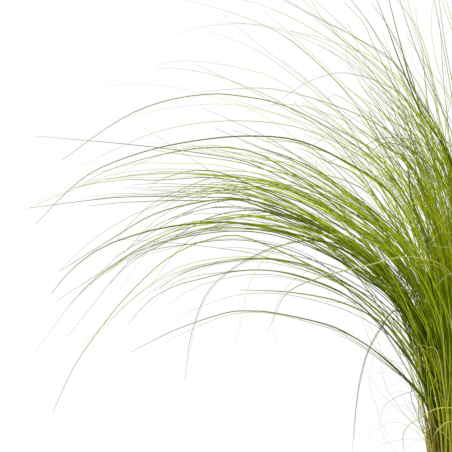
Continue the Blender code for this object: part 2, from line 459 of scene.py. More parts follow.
def drawn_tree():
    kit, given = new_tree("leaves along drawn lines", DRAWN_INPUTS)

    def even(curves):
        inputs = {"Curve": curves, "Count": DRAWN_POINTS}
        return kit.node("GeometryNodeResampleCurve", {"mode": "COUNT"}, **inputs)

    def scaled(vector, scale):
        return kit.node("ShaderNodeVectorMath", {"operation": "SCALE"}, Vector=vector, Scale=scale)

    smooth = kit.node(
        "GeometryNodeCurveSplineType",
        {"spline_type": "CATMULL_ROM"},
        Curve=given.out("Geometry"),
    )
    copies = kit.node(
        "GeometryNodeDuplicateElements",
        {"domain": "SPLINE"},
        Geometry=even(smooth),
        Amount=given.out("Copies"),
    )
    numbered = store(kit, copies, "leaf", kit.node("GeometryNodeInputIndex"), domain="CURVE")
    leaf = kit.attribute("leaf")
    along = kit.node("GeometryNodeSplineParameter")
    draw = dice(kit, given.out("Seed"), leaf)
    at_foot = kit.combine(draw(21), draw(22), 0)
    at_tip = kit.combine(draw(23), draw(24), draw(25))
    where = along * WAVES + leaf * NOISE_STRIDE
    noise = kit.node("ShaderNodeTexNoise", {"noise_dimensions": "1D"}, W=where, Scale=1.0)
    wobble = kit.vector("SUBTRACT", noise.out("Color"), (0.5, 0.5, 0.5))
    moved = numbered
    for offset in (
        scaled(at_foot, given.out("Foot Radius")),
        scaled(at_tip, given.out("Loose") * along**PARTING),
        scaled(wobble, given.out("Loose") * 2 * kit.between(along, 0.0, WOBBLE_FULL)),
    ):
        moved = kit.node("GeometryNodeSetPosition", Geometry=moved, Offset=offset)
    end = draw(26, given.out("Shortest"), 1.0)
    cut = kit.node("GeometryNodeTrimCurve", {"mode": "FACTOR"}, Curve=moved, End=end)
    size = kit.node("GeometryNodeAttributeDomainSize", {"component": "CURVE"}, Geometry=numbered)
    return flesh_out(kit, given, even(cut), along, leaf, draw, size.out("Spline Count"))


leaves_along_lines = drawn_tree()
print(f"the tree has {len(leaves_along_lines.nodes)} nodes")


# %% [markdown]
# ## From a tree to a piece
#
# A modifier runs a tree on an object, but what it shows is still only worked out when it is looked
# at. `new_from_object` turns the result into a plain mesh. The object that held the modifier is
# then deleted, and the mesh no longer depends on the tree.

# %% Make a piece with a tree
def shaped(name, data, tree, values):
    """What the tree makes of the mesh or curve, as a plain mesh object."""
    holder = add_object(f"{name}_holder", data)
    modifier = holder.modifiers.new("Tree", "NODES")
    modifier.node_group = tree
    for item in tree.interface.items_tree:
        if item.in_out == "INPUT" and item.name != "Geometry":
            modifier[item.identifier] = values[item.name]
    graph = bpy.context.evaluated_depsgraph_get()
    mesh = bpy.data.meshes.new_from_object(holder.evaluated_get(graph))
    mesh.name = name
    bpy.data.objects.remove(holder)
    return add_object(name, mesh)


def grow(name, values):
    """A shoot of leaves."""
    return shaped(name, bpy.data.meshes.new(f"{name}_holder"), leaves_of_a_shoot, values)


def dress(piece, slot, *nodes):
    """Ties a finished piece to the frame, and hides the solids that it stands for. Its slot is not used."""
    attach(piece, "root")
    if nodes:
        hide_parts(*nodes)
    return piece


# %% [markdown]
# ## What leaves are made of
#
# Each leaf carries two numbers that its material reads. `along` runs from 0 at its foot to 1 at
# its tip, so a leaf can start out pale as straw, turn green, and dry to grey at the tip. A dark
# leaf is also made nearly black a third of the way up: painted shade, where the dense lower
# clump shades it. `tint` is one random number for the whole leaf. It picks a place between a
# dark leaf and a bright one, and a few of the highest turn to straw. With one colour for all,
# hundreds of leaves would melt into a single green patch.


# %% Leaf materials
BLOTCHING = 0.5  # of a tint's range, that blotches move it by
STRAW_SHARE = 0.8  # what a leaf keeps of its own colour is the rest
LEAF_ROUGHNESS = 0.6
LEAF_SHINE = 0.06


def new_material(name):
    """A material, its shader, and a kit for its nodes."""
    material = bpy.data.materials.new(name)
    material.use_nodes = True
    return material, material.node_tree.nodes["Principled BSDF"], Kit(material.node_tree)


def leaf_material(name, dark, bright, straw, straw_from):
    """Colours along a dark leaf and a bright one, and the straw that the highest tints turn to."""
    material, shader, kit = new_material(name)
    along = kit.node("ShaderNodeAttribute", {"attribute_name": "along"}).out("Fac")
    tint = kit.node("ShaderNodeAttribute", {"attribute_name": "tint"}).out("Fac")
    place = kit.node("ShaderNodeTexCoord").out("Object")
    blotch = kit.noise(place, scale=45.0, detail=2.0)
    dark_leaf = kit.node("ShaderNodeValToRGB", {"stops": dark}, Fac=along)
    bright_leaf = kit.node("ShaderNodeValToRGB", {"stops": bright}, Fac=along)
    share = tint + (blotch - 0.5) * BLOTCHING
    colour = kit.mix(kit.between(share, 0.05, 1.0), dark_leaf, bright_leaf)
    is_straw = kit.between(tint, straw_from, straw_from + 0.02, 0.0, STRAW_SHARE)
    colour = kit.mix(is_straw, colour, (*straw, 1))
    kit.feed(shader.inputs["Base Color"], colour)
    shader.inputs["Roughness"].default_value = LEAF_ROUGHNESS
    shader.inputs["Specular IOR Level"].default_value = LEAF_SHINE
    return material


grass_leaf = leaf_material(
    "grass_leaf",
    dark=(
        (0.00, (0.080, 0.060, 0.012)),
        # Painted shade: the dark colour sinks nearly to black low on the leaf, in the clump.
        (0.07, (0.045, 0.046, 0.004)),
        (0.30, (0.012, 0.030, 0.000)),
        (0.60, (0.050, 0.088, 0.002)),
        (1.00, (0.090, 0.105, 0.020)),
    ),
    bright=(
        (0.00, (0.520, 0.430, 0.080)),
        (0.08, (0.420, 0.420, 0.035)),
        (0.30, (0.290, 0.410, 0.003)),
        (0.55, (0.370, 0.450, 0.006)),
        (0.80, (0.330, 0.390, 0.010)),
        (1.00, (0.240, 0.280, 0.030)),
    ),
    straw=(0.60, 0.61, 0.16),
    straw_from=0.98,
)
dry_leaf = leaf_material(
    "dry_leaf",
    dark=(
        (0.00, (0.300, 0.150, 0.020)),
        (0.50, (0.200, 0.105, 0.012)),
        (1.00, (0.240, 0.140, 0.030)),
    ),
    bright=(
        (0.00, (0.580, 0.350, 0.060)),
        (0.40, (0.480, 0.350, 0.060)),
        (1.00, (0.560, 0.470, 0.180)),
    ),
    straw=(0.72, 0.68, 0.50),
    straw_from=0.85,
)
pale_leaf = leaf_material(
    "pale_leaf",
    dark=(
        (0.00, (0.160, 0.150, 0.040)),
        (0.50, (0.170, 0.180, 0.060)),
        (1.00, (0.150, 0.160, 0.080)),
    ),
    bright=(
        (0.00, (0.450, 0.400, 0.100)),
        (0.40, (0.500, 0.510, 0.080)),
        (0.75, (0.320, 0.330, 0.110)),
        (1.00, (0.180, 0.190, 0.120)),
    ),
    straw=(0.52, 0.50, 0.17),
    straw_from=0.98,
)
print("three leaf materials")

# %% [markdown]
# ## The clump
#
# The shoots stand on the crown in a golden-angle spiral, as seeds do in a sunflower, so they fill
# it evenly. Chance alone would leave bald spots and heaps. A shoot's share of the way out sets
# everything else: its lean, how far its tips bend over, and its length.

# %% The rule of the clump
SHOOTS = 48
GOLDEN_ANGLE = pi * (3 - sqrt(5))
CROWN_TOP_Z = 0.156
FOOT_CIRCLE = 0.0315
# Each pair or triple runs from the middle of the clump to its outside.
LEAN = (radians(0), radians(0.5))
TIP = (radians(1), radians(154))
TIP_SPREAD = 0.43
LENGTH = (0.53, 0.62, 0.51)
SPRING = (1.8, 1.18)
FAN = (radians(40), radians(7))
SPREAD = (radians(35), radians(14))
LEAVES = (3, 3, 5)
FOOT_RADIUS = 0.0028
HALF_WIDTH = 0.00070
SEED_STEP = 100
SEED_START = 28


def blend(ends, share):
    return ends[0] + (ends[1] - ends[0]) * share


def quadratic(controls, share):
    start, middle, end = controls
    return (1 - share) ** 2 * start + 2 * share * (1 - share) * middle + share**2 * end


for number in range(1, SHOOTS + 1):
    outwards = (number - 0.5) / SHOOTS
    azimuth = number * GOLDEN_ANGLE
    radius = FOOT_CIRCLE * sqrt(outwards)
    shoot = {
        "Foot": (radius * cos(azimuth), radius * sin(azimuth), CROWN_TOP_Z),
        "Foot Radius": FOOT_RADIUS,
        "Outward": 0.0,
        "Azimuth": azimuth,
        "Spread": blend(SPREAD, sqrt(outwards)),
        "Fan": blend(FAN, sqrt(outwards)),
        "Lean": blend(LEAN, outwards),
        "Lean Range": radians(4.0),
        "Tip": blend(TIP, outwards**TIP_SPREAD),
        "Tip Range": 0.09,
        "Spring": blend(SPRING, sqrt(outwards)),
        "Swerve": 0.5,
        "Wander": 0.8,
        "Length": quadratic(LENGTH, outwards),
        "Short Share": 1.0,
        "Shortest": 0.55,
        "Half Width": HALF_WIDTH,
        "Darkest": 0.15,
        "Brightest": 0.9,
        "Leaves": round(quadratic(LEAVES, outwards)),
        "Seed": number * SEED_STEP + SEED_START,
        "Material": grass_leaf,
    }
    dress(grow(f"leaves_{number:02d}", shoot), "grass_leaf", f"tuft_{number:02d}")
print(f"{SHOOTS} shoots")

# %% [markdown]
# ## Leaves that the photograph shows one by one
#
# Each text is one leaf. It lists the points that the leaf goes through, from the crown to its
# tip, in pixels of the photograph: "across,down". A pixel alone doesn't say how near a point is,
# so each leaf draws a depth for its tip, and goes there evenly. No leaf may grow longer than this
# plant's leaves are, or reach out further, and that bounds the depth.

# %% Where the single leaves run
# Each adds this many pixels to the right, smoothly from its first row down to its second.
SHIFTS = ((13, 95, 175), (-3, 300, 450))


def pixels_of(line):
    return [tuple(int(value) for value in point.split(",")) for point in line.split()]


def moved_right(line):
    """The line with its lower part moved right by these shifts."""
    points = []
    for x, y in pixels_of(line):
        for shift, start, end in SHIFTS:
            share = min(max((y - start) / (end - start), 0), 1)
            x += shift * (share * share * (3 - 2 * share))
        points.append(f"{round(x)},{y}")
    return " ".join(points)


LOW_LEAVES = (
    "444,473 438,440 428,405 415,387 400,373 375,351 350,335 325,324 275,313 250,311 225,313 175,330 131,352",
    "444,473 437,440 426,405 412,386 400,375 375,354 350,338 325,327 275,314 240,313 213,320 165,342",
    "446,473 436,430 420,385 405,357 390,336 350,312 300,297 262,293 225,298 178,316",
    "446,473 438,420 425,380 405,345 380,321 337,301 287,292 240,290",
    "446,473 436,420 415,362 385,322 350,300 312,284 275,277 245,278",
    "446,473 436,420 418,372 390,335 350,298 300,277 262,270 225,272 187,278 160,290",
    "446,473 436,420 418,374 392,338 367,311 337,290 300,276 275,271 250,270 225,273 200,279 175,286 "
    "150,300 128,324",
    "446,473 436,420 416,368 388,334 360,308 335,292 305,281 275,275 245,275 215,281 190,290 166,306",
    "446,473 438,420 424,370 396,326 360,292 327,276 293,264 250,258 200,265 170,275 150,286 125,306 98,334",
    "446,473 438,420 425,372 398,330 362,297 328,279 295,268 262,262 225,263 195,272 172,285 148,308",
    "448,473 440,400 425,350 400,316 362,292 325,277 287,264 255,254 225,249 175,243 115,239",
    "444,473 438,440 427,406 414,387 399,371 382,356 360,341 340,331 318,323",
    "446,473 439,440 426,404 411,384 397,373 380,360 362,347 346,338 330,332",
    "446,473 438,436 424,402 408,383 392,366 376,352 362,342",
)
DROOPING_LEAVES = (
    # Two leaves run side by side in each, and part a little at their tips.
    "450,473 446,400 438,352 427,329 412,315 394,310 381,326 368,350 360,378 355,415 352,456",
    "448,473 442,400 428,340 405,295 375,262 345,246 320,241 300,241 275,247 250,258 225,274 207,293 "
    "196,318 189,345 185,380",
    "449,473 443,400 429,341 406,296 376,263 346,247 320,242 300,242 275,248 251,259 226,275 208,294 "
    "197,319 191,345 188,366",
    "450,473 446,400 439,353 428,330 412,316 394,311 382,327 369,350 361,378 356,410 354,440",
)
LONG_LEAVES = (
    # Most cross a neighbour somewhere: no two leaves of a clump run alike.
    "446,473 436,420 420,378 387,325 337,281 287,254 240,236 215,238 190,246 160,264 125,298 103,325 "
    "75,365 53,412",
    "446,473 440,410 428,360 390,296 337,260 287,236 240,229 190,232 140,248 100,275 75,299 35,352",
    "446,473 440,410 426,356 388,294 335,259 285,238 240,231 190,236 140,250 100,273 55,302",
    "446,473 438,410 420,350 385,305 340,275 290,250 240,240 190,244 140,254 113,280 68,336",
    "447,473 440,400 424,340 390,292 340,255 290,232 240,218 200,221 160,238 118,291",
    "449,473 443,410 430,350 400,292 350,244 300,212 250,196 200,194 163,203 125,219 90,242 58,272",
    "449,473 442,400 426,340 390,284 340,240 290,212 240,199 190,204 150,216 113,238 60,271",
    "450,473 444,410 432,350 400,290 350,240 300,206 250,188 225,188 200,195 175,207 150,225 122,256",
    "450,473 444,410 432,350 400,294 350,246 300,220 250,200 190,197 125,197 75,202 30,208",
    "452,473 446,400 436,345 402,270 350,221 300,195 250,180 213,175 150,174 100,181 50,199 22,211",
    "452,473 446,390 430,310 390,240 340,205 300,186 250,163 225,157 185,151 125,144 36,136",
    "450,473 446,400 430,335 395,288 350,262 300,233 275,217 225,181 175,148 143,127",
    "456,473 452,380 442,290 420,215 385,165 325,132 275,113 225,104 170,108 123,118",
    "453,473 448,400 440,330 428,270 410,222 385,188 350,164 300,141 250,136 200,140 150,150 100,168 "
    "70,189 36,224",
    "454,473 450,390 440,300 420,230 390,180 350,150 300,128 250,121 200,123 150,134 83,165",
    "455,473 451,380 440,290 416,215 380,165 325,126 280,104 240,96 210,94 165,101 121,119 62,160",
)
HIGH_LEAVES = (
    # Most were first read with their lower part too far left.
    moved_right("460,473 459,370 452,260 438,165 410,92 380,62 352,47 332,30 318,12 305,-12"),
    moved_right("457,473 455,370 447,270 428,190 400,146 362,118 312,98 262,88 200,92"),
    moved_right("456,473 453,370 443,270 420,200 385,165 340,134 300,118 250,90 195,64"),
    moved_right("458,473 456,360 448,260 428,180 400,130 375,113 337,78 300,43 262,9"),
    moved_right("457,473 455,360 446,265 424,195 390,150 340,110 300,76 262,47 222,13"),
    moved_right("458,473 456,370 450,260 432,170 405,115 375,80 340,52 312,38 262,25 215,25 172,34"),
    moved_right("459,473 458,370 452,260 437,160 412,99 375,65 337,36 312,12 290,-18"),
    moved_right("459,473 458,370 451,260 434,155 403,74 375,50 337,27 300,8 270,-10"),
    "480,473 482,380 480,290 474,225 465,178 452,147 437,133 422,118 407,99 394,90 375,80 352,74 337,73 "
    "312,80 287,95 262,114",
    moved_right("459,473 458,370 452,260 436,150 400,69 362,41 325,22 283,0 255,-14"),
    moved_right("460,473 459,370 452,250 435,160 402,95 385,52 365,18 340,-12"),
    "470,473 472,380 468,280 458,205 442,155 420,118 396,92 368,68 338,45 300,22 262,5 225,-4",
    moved_right("461,473 461,360 455,240 438,150 414,90 402,50 389,0 384,-24"),
    moved_right("463,473 463,350 458,230 446,140 428,80 412,38 400,0 392,-28"),
    moved_right("463,473 464,350 460,230 450,140 434,90 420,48 404,0 394,-34"),
    moved_right("464,473 466,350 463,230 454,120 440,75 432,37 432,10 438,-36"),
    moved_right("465,473 467,350 464,220 457,120 449,65 443,30 439,0 434,-40"),
    moved_right("467,473 470,350 469,220 464,110 456,45 445,10 436,-24"),
    moved_right("467,473 472,350 472,220 467,110 460,50 449,10 441,-16"),
    "472,473 474,380 472,290 466,215 457,172 447,150 438,145 425,137 407,118 394,103 380,90 362,74 340,58 "
    "318,44",
    "474,473 476,380 473,290 466,225 452,172 436,140 414,110 390,82 362,55 335,30 310,6 290,-14",
    "472,473 474,380 470,280 461,210 446,160 428,128 405,98 380,70 352,47 322,24 296,5 262,-16",
    "471,473 472,380 469,280 460,205 447,158 430,122 408,92 384,66 355,38 330,14 308,-6",
    moved_right("461,473 461,360 454,240 438,160 419,112 400,62 387,26 372,-12"),
    "470,473 471,380 466,280 455,205 438,155 415,120 388,92 355,66 320,46 285,32 250,24 215,22",
)
NODDING_LEAVES = (
    # They nod over in the dense part, and cross what stands behind them.
    "466,473 468,380 467,270 460,205 450,187 438,173 425,161 412,151 400,145 386,143 374,149 366,160",
    "464,473 466,380 463,280 452,205 438,184 424,171 410,162 396,157 382,158 368,166 356,179 346,198 342,224",
    "466,473 469,380 467,280 458,200 445,172 430,152 414,141 398,138 384,138 370,143 352,155",
    "464,473 466,380 463,290 454,222 440,198 424,181 408,172 392,171 376,177 362,190",
    "462,473 464,380 460,280 450,210 436,176 420,150 405,141 392,141 380,150 372,164",
    "460,473 462,380 458,300 447,235 430,203 412,190 398,192 388,203 380,222",
    "466,473 469,380 468,270 461,180 450,148 436,128 420,117 404,117 390,125",
)
STRAW_LEAVES = (
    # These rise out of view on the right and arch back across the dense part.
    "484,473 485,390 479,290 468,215 460,204 452,208 441,220 432,230 426,239",
    "478,473 480,400 476,310 467,250 459,237 452,233 439,233 430,243 421,248 411,257",
    "482,473 484,400 479,320 468,264 452,249 441,247 427,246",
    "472,473 473,400 466,320 454,284 447,272 433,265 416,266 402,274 391,284 385,293",
    "476,473 477,400 469,320 457,285 447,269 430,260 402,257 373,264 324,276 288,292 274,317 268,332",
    "480,473 481,410 474,330 463,282 451,274 443,279 434,288",
    "470,473 475,440 471,418 462,410 452,408 440,408 429,412 418,419 408,426 403,436 404,450",
    "446,473 446,410 438,354 427,347 416,343",
    "470,473 467,440 458,424 447,422 441,427 436,432 433,440",
    "472,473 462,456 451,442 444,434 436,427 430,412 429,400",
    "462,473 460,360 450,240 430,165 395,125 360,116 335,130 308,148",
)
DEAD_LEAVES = (
    "441,473 440,456 438,440 436,426",
    "438,473 438,460 438,446 437,434",
    "444,473 444,440 441,410 436,390 431,376 428,368",
    "446,473 447,440 446,405 442,380 439,362 438,350",
    "446,473 447,430 446,400 443,375 438,356 432,339 426,328 419,319",
    "462,473 462,420 460,370 456,335 451,318 448,309",
)
FINE_CURLS = (
    "446,473 440,450 429,433 418,426 401,412 381,393 370,374 360,357 353,334 350,318",
    "440,473 424,469 406,461 396,451 387,442 381,430 377,408 370,388 370,371 377,347 388,340",
    "444,473 436,440 420,405 404,382 387,372 376,374 369,370",
    "448,473 440,440 428,404 418,391 407,393 393,399 384,407 381,415 383,426 388,436",
    "446,473 432,420 418,388 408,383 399,382 391,387 384,394 380,405 378,418",
    "440,473 434,455 427,441 419,439 408,439 399,440 387,443 376,448",
    "442,473 436,458 430,444 420,441 411,444 404,451 400,458",
    "444,473 434,458 430,449 427,432 418,422 408,407 403,398 398,391",
    "446,473 434,445 426,429 419,416 412,401 407,386",
    "444,473 432,448 428,433 425,424 422,413 416,400 410,393",
)

# %% Single leaves
FOOT_DEPTH = 0.018  # metres either way
LONGEST_LEAF = 0.56
FURTHEST_TIP = 0.38  # from the pot's axis
LEAST_ROOM = 0.04
LATE_DEPTH = 1.5  # the higher, the later a leaf leaves the picture's plane
# Shares of the room that a leaf has towards the camera, -1, and away from it, 1.
ANYWHERE = (-1.0, 1.0)
NEAR = (-0.35, -0.15)
IN_FRONT = (-1.0, -0.8)
FIRST_SEED = 11


def seen_at(x, y, depth):
    """The point that the camera sees at this pixel, this far behind the pot's axis."""
    spread = PIXEL * (CAMERA_DISTANCE + depth) / CAMERA_DISTANCE
    across = aim.x + (x - IMAGE_SIDE / 2) * spread
    up = aim.z - (y - IMAGE_SIDE / 2) * spread
    return Vector((across, depth, up))


def room_for_depth(pixels):
    """How far behind or before the pot's axis the tip of this line may be."""
    points = [seen_at(*pixel, 0) for pixel in pixels]
    length = sum((b - a).length for a, b in zip(points, points[1:]))
    by_length = sqrt(max(LONGEST_LEAF**2 - length**2, 0))
    by_reach = sqrt(max(FURTHEST_TIP**2 - points[-1].x ** 2, 0))
    return max(min(by_length, by_reach), LEAST_ROOM)


def drawn_lines(name, lines, seed, turn, side):
    """A curve object's data with one spline for each line, all turned about the pot's axis."""
    curves = bpy.data.curves.new(name, "CURVE")
    curves.dimensions = "3D"
    roll = random.Random(seed)
    turned_by = Matrix.Rotation(turn, 3, "Z")
    for line in lines:
        pixels = pixels_of(line)
        spline = curves.splines.new("POLY")
        spline.points.add(len(pixels) - 1)
        foot_depth = roll.uniform(-FOOT_DEPTH, FOOT_DEPTH)
        tip_depth = roll.uniform(*side) * room_for_depth(pixels)
        for i, (point, pixel) in enumerate(zip(spline.points, pixels)):
            depth = blend((foot_depth, tip_depth), (i / (len(pixels) - 1)) ** LATE_DEPTH)
            point.co = (*(turned_by @ seen_at(*pixel, depth)), 1)
    return curves


def drawn_piece(name, lines, seed, values, slot, turn=0.0, side=ANYWHERE):
    """Leaves or locks along drawn lines, as a finished piece."""
    data = drawn_lines(name, lines, seed, turn, side)
    piece = dress(shaped(name, data, leaves_along_lines, values), slot)
    print(f"{name}: {len(lines)} lines, {len(piece.data.polygons)} faces")


SINGLE = {"Copies": 1, "Loose": 0.0, "Foot Radius": 0.0, "Shortest": 1.0}
SINGLE_PIECES = {  # lines, depths, half width, tints, material and finish
    "low_leaves": (LOW_LEAVES, ANYWHERE, 0.00062, (0.1, 0.6), grass_leaf, "grass_leaf"),
    "drooping_leaves": (DROOPING_LEAVES, NEAR, 0.00062, (0.0, 0.2), grass_leaf, "grass_leaf"),
    "long_leaves": (LONG_LEAVES, ANYWHERE, 0.00070, (0.08, 0.72), grass_leaf, "grass_leaf"),
    "high_leaves": (HIGH_LEAVES, ANYWHERE, 0.00064, (0.15, 0.8), grass_leaf, "grass_leaf"),
    "nodding_leaves": (NODDING_LEAVES, IN_FRONT, 0.00065, (0.3, 1.0), grass_leaf, "grass_leaf"),
    "straw_leaves": (STRAW_LEAVES, IN_FRONT, 0.00052, (0.6, 1.0), pale_leaf, "crown_husk"),
    "brown_leaves": (DEAD_LEAVES, NEAR, 0.00050, (0.0, 0.7), dry_leaf, "crown_husk"),
    "fine_curls": (FINE_CURLS, NEAR, 0.00019, (0.0, 0.5), pale_leaf, "crown_husk"),
}
for seed, (name, piece) in enumerate(SINGLE_PIECES.items(), FIRST_SEED):
    lines, side, half_width, (darkest, brightest), material, slot = piece
    look = {"Half Width": half_width, "Darkest": darkest, "Brightest": brightest}
    values = {**SINGLE, **look, "Seed": seed, "Material": material}
    drawn_piece(name, lines, seed, values, slot, side=side)

# %% [markdown]
# ## Locks that the photograph shows
#
# The dense parts of the photograph are locks: leaves that run side by side and leave clear
# gaps between one lock and the next. Each is drawn as one line down its middle. The plant is
# as full on its other sides, so the same locks are grown again, turned about the pot's axis.

# %% Where the locks run
LOWER_LOCKS = (
    "451,473 446,405 437,350 422,304 404,277 381,251 355,232 328,216 303,204 277,194 250,187",
    "450,473 445,410 433,350 419,314 401,289 377,261 351,240 326,224 301,211 276,201 250,191 225,187 "
    "190,187 150,188 110,192 75,198",
    "450,473 445,410 433,350 419,316 401,291 376,263 350,242 325,227 300,216 275,206 250,198 225,194 "
    "190,195 150,196 100,198 60,204",
    "449,473 444,410 431,351 416,316 397,289 372,264 347,245 322,231 297,221 272,213 247,208 220,209 "
    "195,215 150,236 125,254 100,280",
    "448,473 442,410 429,356 413,321 392,292 365,272 340,254 315,240 290,231 262,224 235,222 205,227 "
    "170,238 130,258 100,282 75,310",
)
UPPER_LOCKS = (
    "452,473 447,400 438,345 424,296 405,265 380,240 352,223 325,206 300,194 275,184 250,178 213,174 "
    "175,173 145,174 100,181 50,199",
    "452,473 447,400 439,348 426,302 407,270 383,245 356,226 329,211 303,199 277,189 250,184 225,184 "
    "200,190 175,202 150,219 122,250",
    "453,473 448,390 439,332 426,290 409,258 388,234 363,213 337,197 312,184 287,172 262,165 225,156 "
    "185,151 125,144",
    "453,473 449,400 441,340 432,298 424,268 413,245 407,236 397,222 384,210 372,197 350,180 325,166 "
    "300,156 275,151 250,150",
    "455,473 453,400 447,330 438,280 430,250 422,232 415,223 407,214 394,199 382,186 372,177 352,163 "
    "327,150 300,141 270,137",
    "457,473 456,400 451,330 444,272 437,245 429,225 420,200 410,182 399,168 388,158 379,149 365,141 "
    "348,132 330,121 312,112",
    "460,473 460,400 456,330 450,270 443,235 434,208 424,188 412,168 402,155 390,143 376,132 360,122 "
    "338,110 315,100",
    "466,473 466,400 464,330 459,260 453,215 445,190 437,172 430,155 423,140 415,127 405,114 395,104 "
    "383,93 368,78 350,60 330,42",
    "467,473 468,400 466,330 462,260 456,212 449,184 441,162 433,144 425,127 417,108 410,90 403,68 396,42",
    "470,473 472,400 470,320 464,240 456,190 448,165 440,150 430,138 418,126 406,116 394,106 375,92 352,77",
    "453,473 449,395 440,336 429,294 417,263 400,240 380,222 360,206 337,190 312,176 287,165 262,158",
)
TIGHT_LOCKS = (
    "447,473 441,410 428,358 412,322 390,294 362,274 337,257 312,245 287,236 262,231 225,229 200,231 "
    "175,237 150,246 125,259 100,276 75,297 52,321",
    "446,473 438,420 424,368 404,335 384,314 360,294 337,280 312,268 290,262 262,258 225,260 200,265 "
    "175,274 150,291 125,312 100,334 75,360",
    "452,473 446,400 436,345 420,292 400,262 376,238 350,220 325,205 300,194 275,184 250,179 213,175 "
    "175,173 145,174 100,181 50,199 25,210",
    "454,473 449,390 440,325 424,275 402,240 375,214 350,196 325,178 300,165 280,156 262,150 240,141 215,130",
)

# %% Locks
LOCK_KINDS = {  # lines, leaves in each, metres that they part, the shortest's share, tints
    # Painted shade below, painted light above: lower locks get darker tints, upper ones brighter.
    "lower_locks": (LOWER_LOCKS, 10, 0.010, 0.45, (0.0, 0.7)),
    "upper_locks": (UPPER_LOCKS, 10, 0.010, 0.55, (0.4, 1.0)),
    "tight_locks": (TIGHT_LOCKS, 4, 0.003, 0.70, (0.1, 0.9)),
}
LOCK_TURNS = (0, 135, 180, 225)  # degrees
LOCK_FOOT_RADIUS = 0.004
LOCK_HALF_WIDTH = 0.00085
LINE_SEEDS = 30
LEAF_SEEDS = 40
for number, degrees in enumerate(LOCK_TURNS, 1):
    for kind, (lines, copies, loose, shortest, (darkest, brightest)) in LOCK_KINDS.items():
        values = {
            "Copies": copies,
            "Loose": loose,
            "Foot Radius": LOCK_FOOT_RADIUS,
            "Shortest": shortest,
            "Half Width": LOCK_HALF_WIDTH,
            "Darkest": darkest,
            "Brightest": brightest,
            "Seed": LEAF_SEEDS + number,
            "Material": grass_leaf,
        }
        seed = LINE_SEEDS + number
        drawn_piece(f"{kind}_{number}", lines, seed, values, "grass_leaf", turn=radians(degrees))

# %% [markdown]
# ## Stray and dry leaves
#
# Some green leaves stray from their shoot: they tangle, hook over or stay short. Old leaves dry in
# the clump and stay: straw-coloured threads that cross the green, curls about the foot, and brown
# sheaths that cover the crown. Without them the clump would look combed. The first tree grows all
# of them. It turns each one away from the middle, wherever on the crown it stands.

# %% Stray leaves, dry threads, curls and sheaths
ON_CROWN = (0, 0, CROWN_TOP_Z - 0.001)
STRAY = {
    "Foot": ON_CROWN,
    "Foot Radius": 0.033,
    "Outward": 1.0,
    "Azimuth": 0.0,
    "Spread": radians(40),
    "Fan": 0.0,
    "Lean": radians(3),
    "Lean Range": radians(4),
    "Tip": radians(60),
    "Tip Range": 0.5,
    "Spring": 1.2,
    "Swerve": 1.0,
    "Wander": 1.5,
    "Length": 0.2,
    "Short Share": 0.7,
    "Shortest": 0.35,
    "Half Width": 0.0005,
    "Darkest": 0.0,
    "Brightest": 1.0,
    "Leaves": 60,
    "Seed": 9000,
    "Material": dry_leaf,
}
STRAY_PIECES = {
    "tangled_leaves": {
        "Spread": radians(120),
        "Lean": radians(4),
        "Lean Range": radians(10),
        "Tip": radians(85),
        "Tip Range": 0.9,
        "Spring": 1.9,
        "Swerve": 2.6,
        "Length": 0.46,
        "Shortest": 0.5,
        "Half Width": 0.00046,
        "Darkest": 0.3,
        "Leaves": 50,
        "Seed": 9500,
        "Material": grass_leaf,
    },
    "hooked_leaves": {
        "Spread": radians(60),
        "Lean": radians(5),
        "Lean Range": radians(8),
        "Tip": radians(160),
        "Tip Range": 0.2,
        "Spring": 3.2,
        "Swerve": 1.5,
        "Length": 0.42,
        "Short Share": 0.9,
        "Shortest": 0.5,
        "Half Width": 0.00040,
        "Darkest": 0.3,
        "Leaves": 50,
        "Seed": 9600,
        "Material": grass_leaf,
    },
    "short_leaves": {
        "Spread": radians(140),
        "Lean": radians(6),
        "Lean Range": radians(14),
        "Tip": radians(40),
        "Tip Range": 1.5,
        "Spring": 1.3,
        "Swerve": 4.0,
        "Wander": 3.0,
        "Length": 0.26,
        "Short Share": 0.9,
        "Shortest": 0.4,
        "Half Width": 0.00042,
        "Leaves": 110,
        "Seed": 9700,
        "Material": grass_leaf,
    },
    "dead_leaves": {
        "Length": 0.17,
        "Tip": radians(25),
        "Half Width": 0.0007,
        "Leaves": 90,
        "Seed": 9100,
    },
    "dry_threads": {
        "Length": 0.36,
        "Tip": radians(160),
        "Spring": 2.4,
        "Swerve": 2.2,
        "Half Width": 0.00036,
        "Leaves": 50,
        "Seed": 9200,
        "Material": pale_leaf,
    },
    "dry_curls": {
        "Length": 0.15,
        "Tip": radians(160),
        "Tip Range": 0.2,
        "Lean": radians(6),
        "Spring": 1.6,
        "Swerve": 3.0,
        "Half Width": 0.00015,
        "Brightest": 0.4,
        "Leaves": 18,
        "Seed": 9300,
        "Material": pale_leaf,
    },
    "old_sheaths": {
        "Foot Radius": 0.0385,
        "Length": 0.020,
        "Tip": radians(50),
        "Lean": radians(6),
        "Lean Range": radians(8),
        "Swerve": 0.6,
        "Half Width": 0.0011,
        "Leaves": 420,
        "Seed": 9400,
    },
}
for name, changes in STRAY_PIECES.items():
    values = {**STRAY, **changes}
    slot = "grass_leaf" if values["Material"] == grass_leaf else "crown_husk"
    piece = dress(grow(name, values), slot)
    print(f"{name}: {len(piece.data.polygons)} faces")

# %% [markdown]
# ## The pot
#
# The photograph cuts the pot off, so this is a plain clay pot that a clump of this size would
# have. A cone with a ring around it would come close, but a turned profile gives the wall, the rim
# and the round corners in one piece, as a potter's wheel does. The profile is drawn once, its
# corners are cut round, and a *Screw* modifier turns it. Three *Boolean* modifiers drill the holes
# that water leaves by.
#
# Fired clay is uneven: cloudy in colour, streaked by the turning, pitted with pores, and white
# with lime where hard water dries. Noises and a *Voronoi* texture make all four. The pores are
# also darker in colour: painted shade in them.

# %% A turned shape
TURNED_SIDES = 128
CORNER_STEPS = 5
WELD = 0.00001


